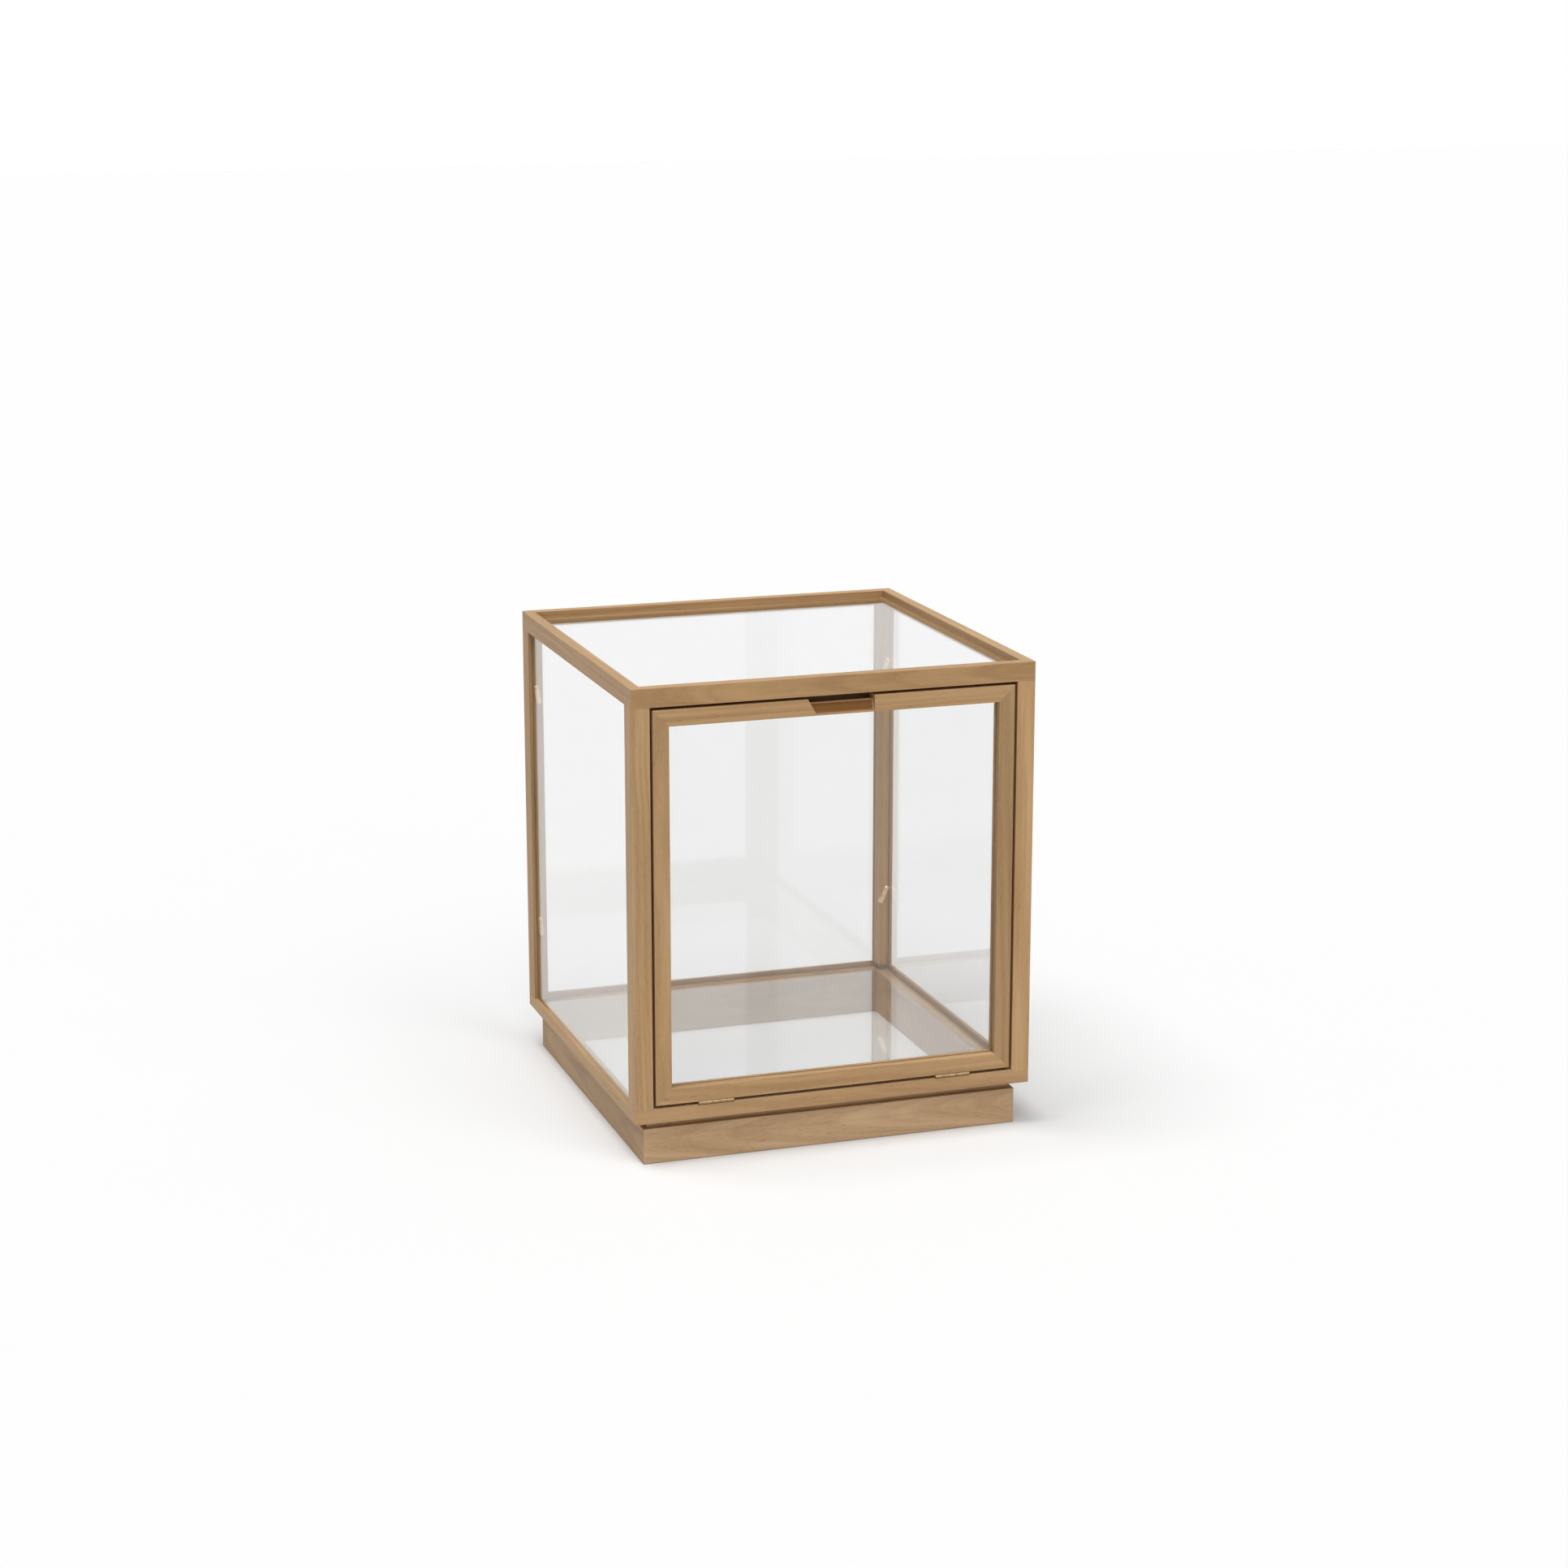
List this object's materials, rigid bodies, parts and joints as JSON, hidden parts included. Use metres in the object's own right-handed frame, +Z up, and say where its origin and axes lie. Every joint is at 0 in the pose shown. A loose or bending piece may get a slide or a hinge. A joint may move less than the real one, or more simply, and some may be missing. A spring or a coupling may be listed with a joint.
{
  "type": "glass display case",
  "caption": "Square oak-framed glass display case on a set-back plinth, with clear panes all round and a drop-down glass front door with a finger notch.",
  "frame": {"origin": "on the floor, under the middle of the case", "axes": "+Z up, the door faces -Y, +X to the right as seen from the front"},
  "size_m": [0.4, 0.4011, 0.464],
  "materials": {
    "oak": "oiled light oak",
    "dowel_wood": "plain beech",
    "glass": "clear float glass",
    "brass": "satin brass",
    "strike_steel": "brushed",
    "magnet": "nickel plated"
  },
  "bodies": {
    "case": {"back_pane": "glass", "base_dowels": "dowel_wood", "base_glass": "glass", "base_rail_back": "oak", "base_rail_front": "oak", "base_rail_left": "oak", "base_rail_right": "oak", "catch_magnets": "magnet", "hinge_frame_leaf_left": "brass", "hinge_frame_leaf_right": "brass", "hinge_frame_screws": "brass", "hinge_pin_left": "brass", "hinge_pin_right": "brass", "left_pane": "glass", "plinth_back": "oak", "plinth_front": "oak", "plinth_left": "oak", "plinth_right": "oak", "plinth_splines": "dowel_wood", "post_front_left": "oak", "post_front_right": "oak", "post_rear_left": "oak", "post_rear_right": "oak", "right_pane": "glass", "stop_strip": "oak", "top_dowels": "dowel_wood", "top_glass": "glass", "top_rail_back": "oak", "top_rail_front": "oak", "top_rail_left": "oak", "top_rail_right": "oak", "turn_button_screws": "brass"},
    "door": {"catch_strikes": "strike_steel", "door_bead_bottom": "oak", "door_bead_left": "oak", "door_bead_right": "oak", "door_bead_top": "oak", "door_glass": "glass", "door_mitre_splines": "dowel_wood", "door_rail_bottom": "oak", "door_rail_top": "oak", "door_stile_left": "oak", "door_stile_right": "oak", "hinge_door_leaf_left": "brass", "hinge_door_leaf_right": "brass", "hinge_door_screws": "brass"},
    "turn_button_upper_left": {"turn_button_upper_left": "brass"},
    "turn_button_upper_right": {"turn_button_upper_right": "brass"},
    "turn_button_lower_left": {"turn_button_lower_left": "brass"},
    "turn_button_lower_right": {"turn_button_lower_right": "brass"}
  },
  "joints": [
    {"name": "door_hinge", "type": "hinge", "parent": "case", "child": "door", "pos_m": [0, -0.1994, 0.0592], "axis": [1, 0, 0], "range_deg": [0, 98]},
    {"name": "upper_left_button", "type": "hinge", "parent": "case", "child": "turn_button_upper_left", "pos_m": [-0.1898, 0.1764, 0.388], "axis": [0, -1, 0], "range_deg": [-12, 168]},
    {"name": "upper_right_button", "type": "hinge", "parent": "case", "child": "turn_button_upper_right", "pos_m": [0.1898, 0.1764, 0.388], "axis": [0, 1, 0], "range_deg": [-16, 164]},
    {"name": "lower_left_button", "type": "hinge", "parent": "case", "child": "turn_button_lower_left", "pos_m": [-0.1898, 0.1764, 0.142], "axis": [0, -1, 0], "range_deg": [-4, 176]},
    {"name": "lower_right_button", "type": "hinge", "parent": "case", "child": "turn_button_lower_right", "pos_m": [0.1898, 0.1764, 0.142], "axis": [0, 1, 0], "range_deg": [-24, 156]}
  ]
}
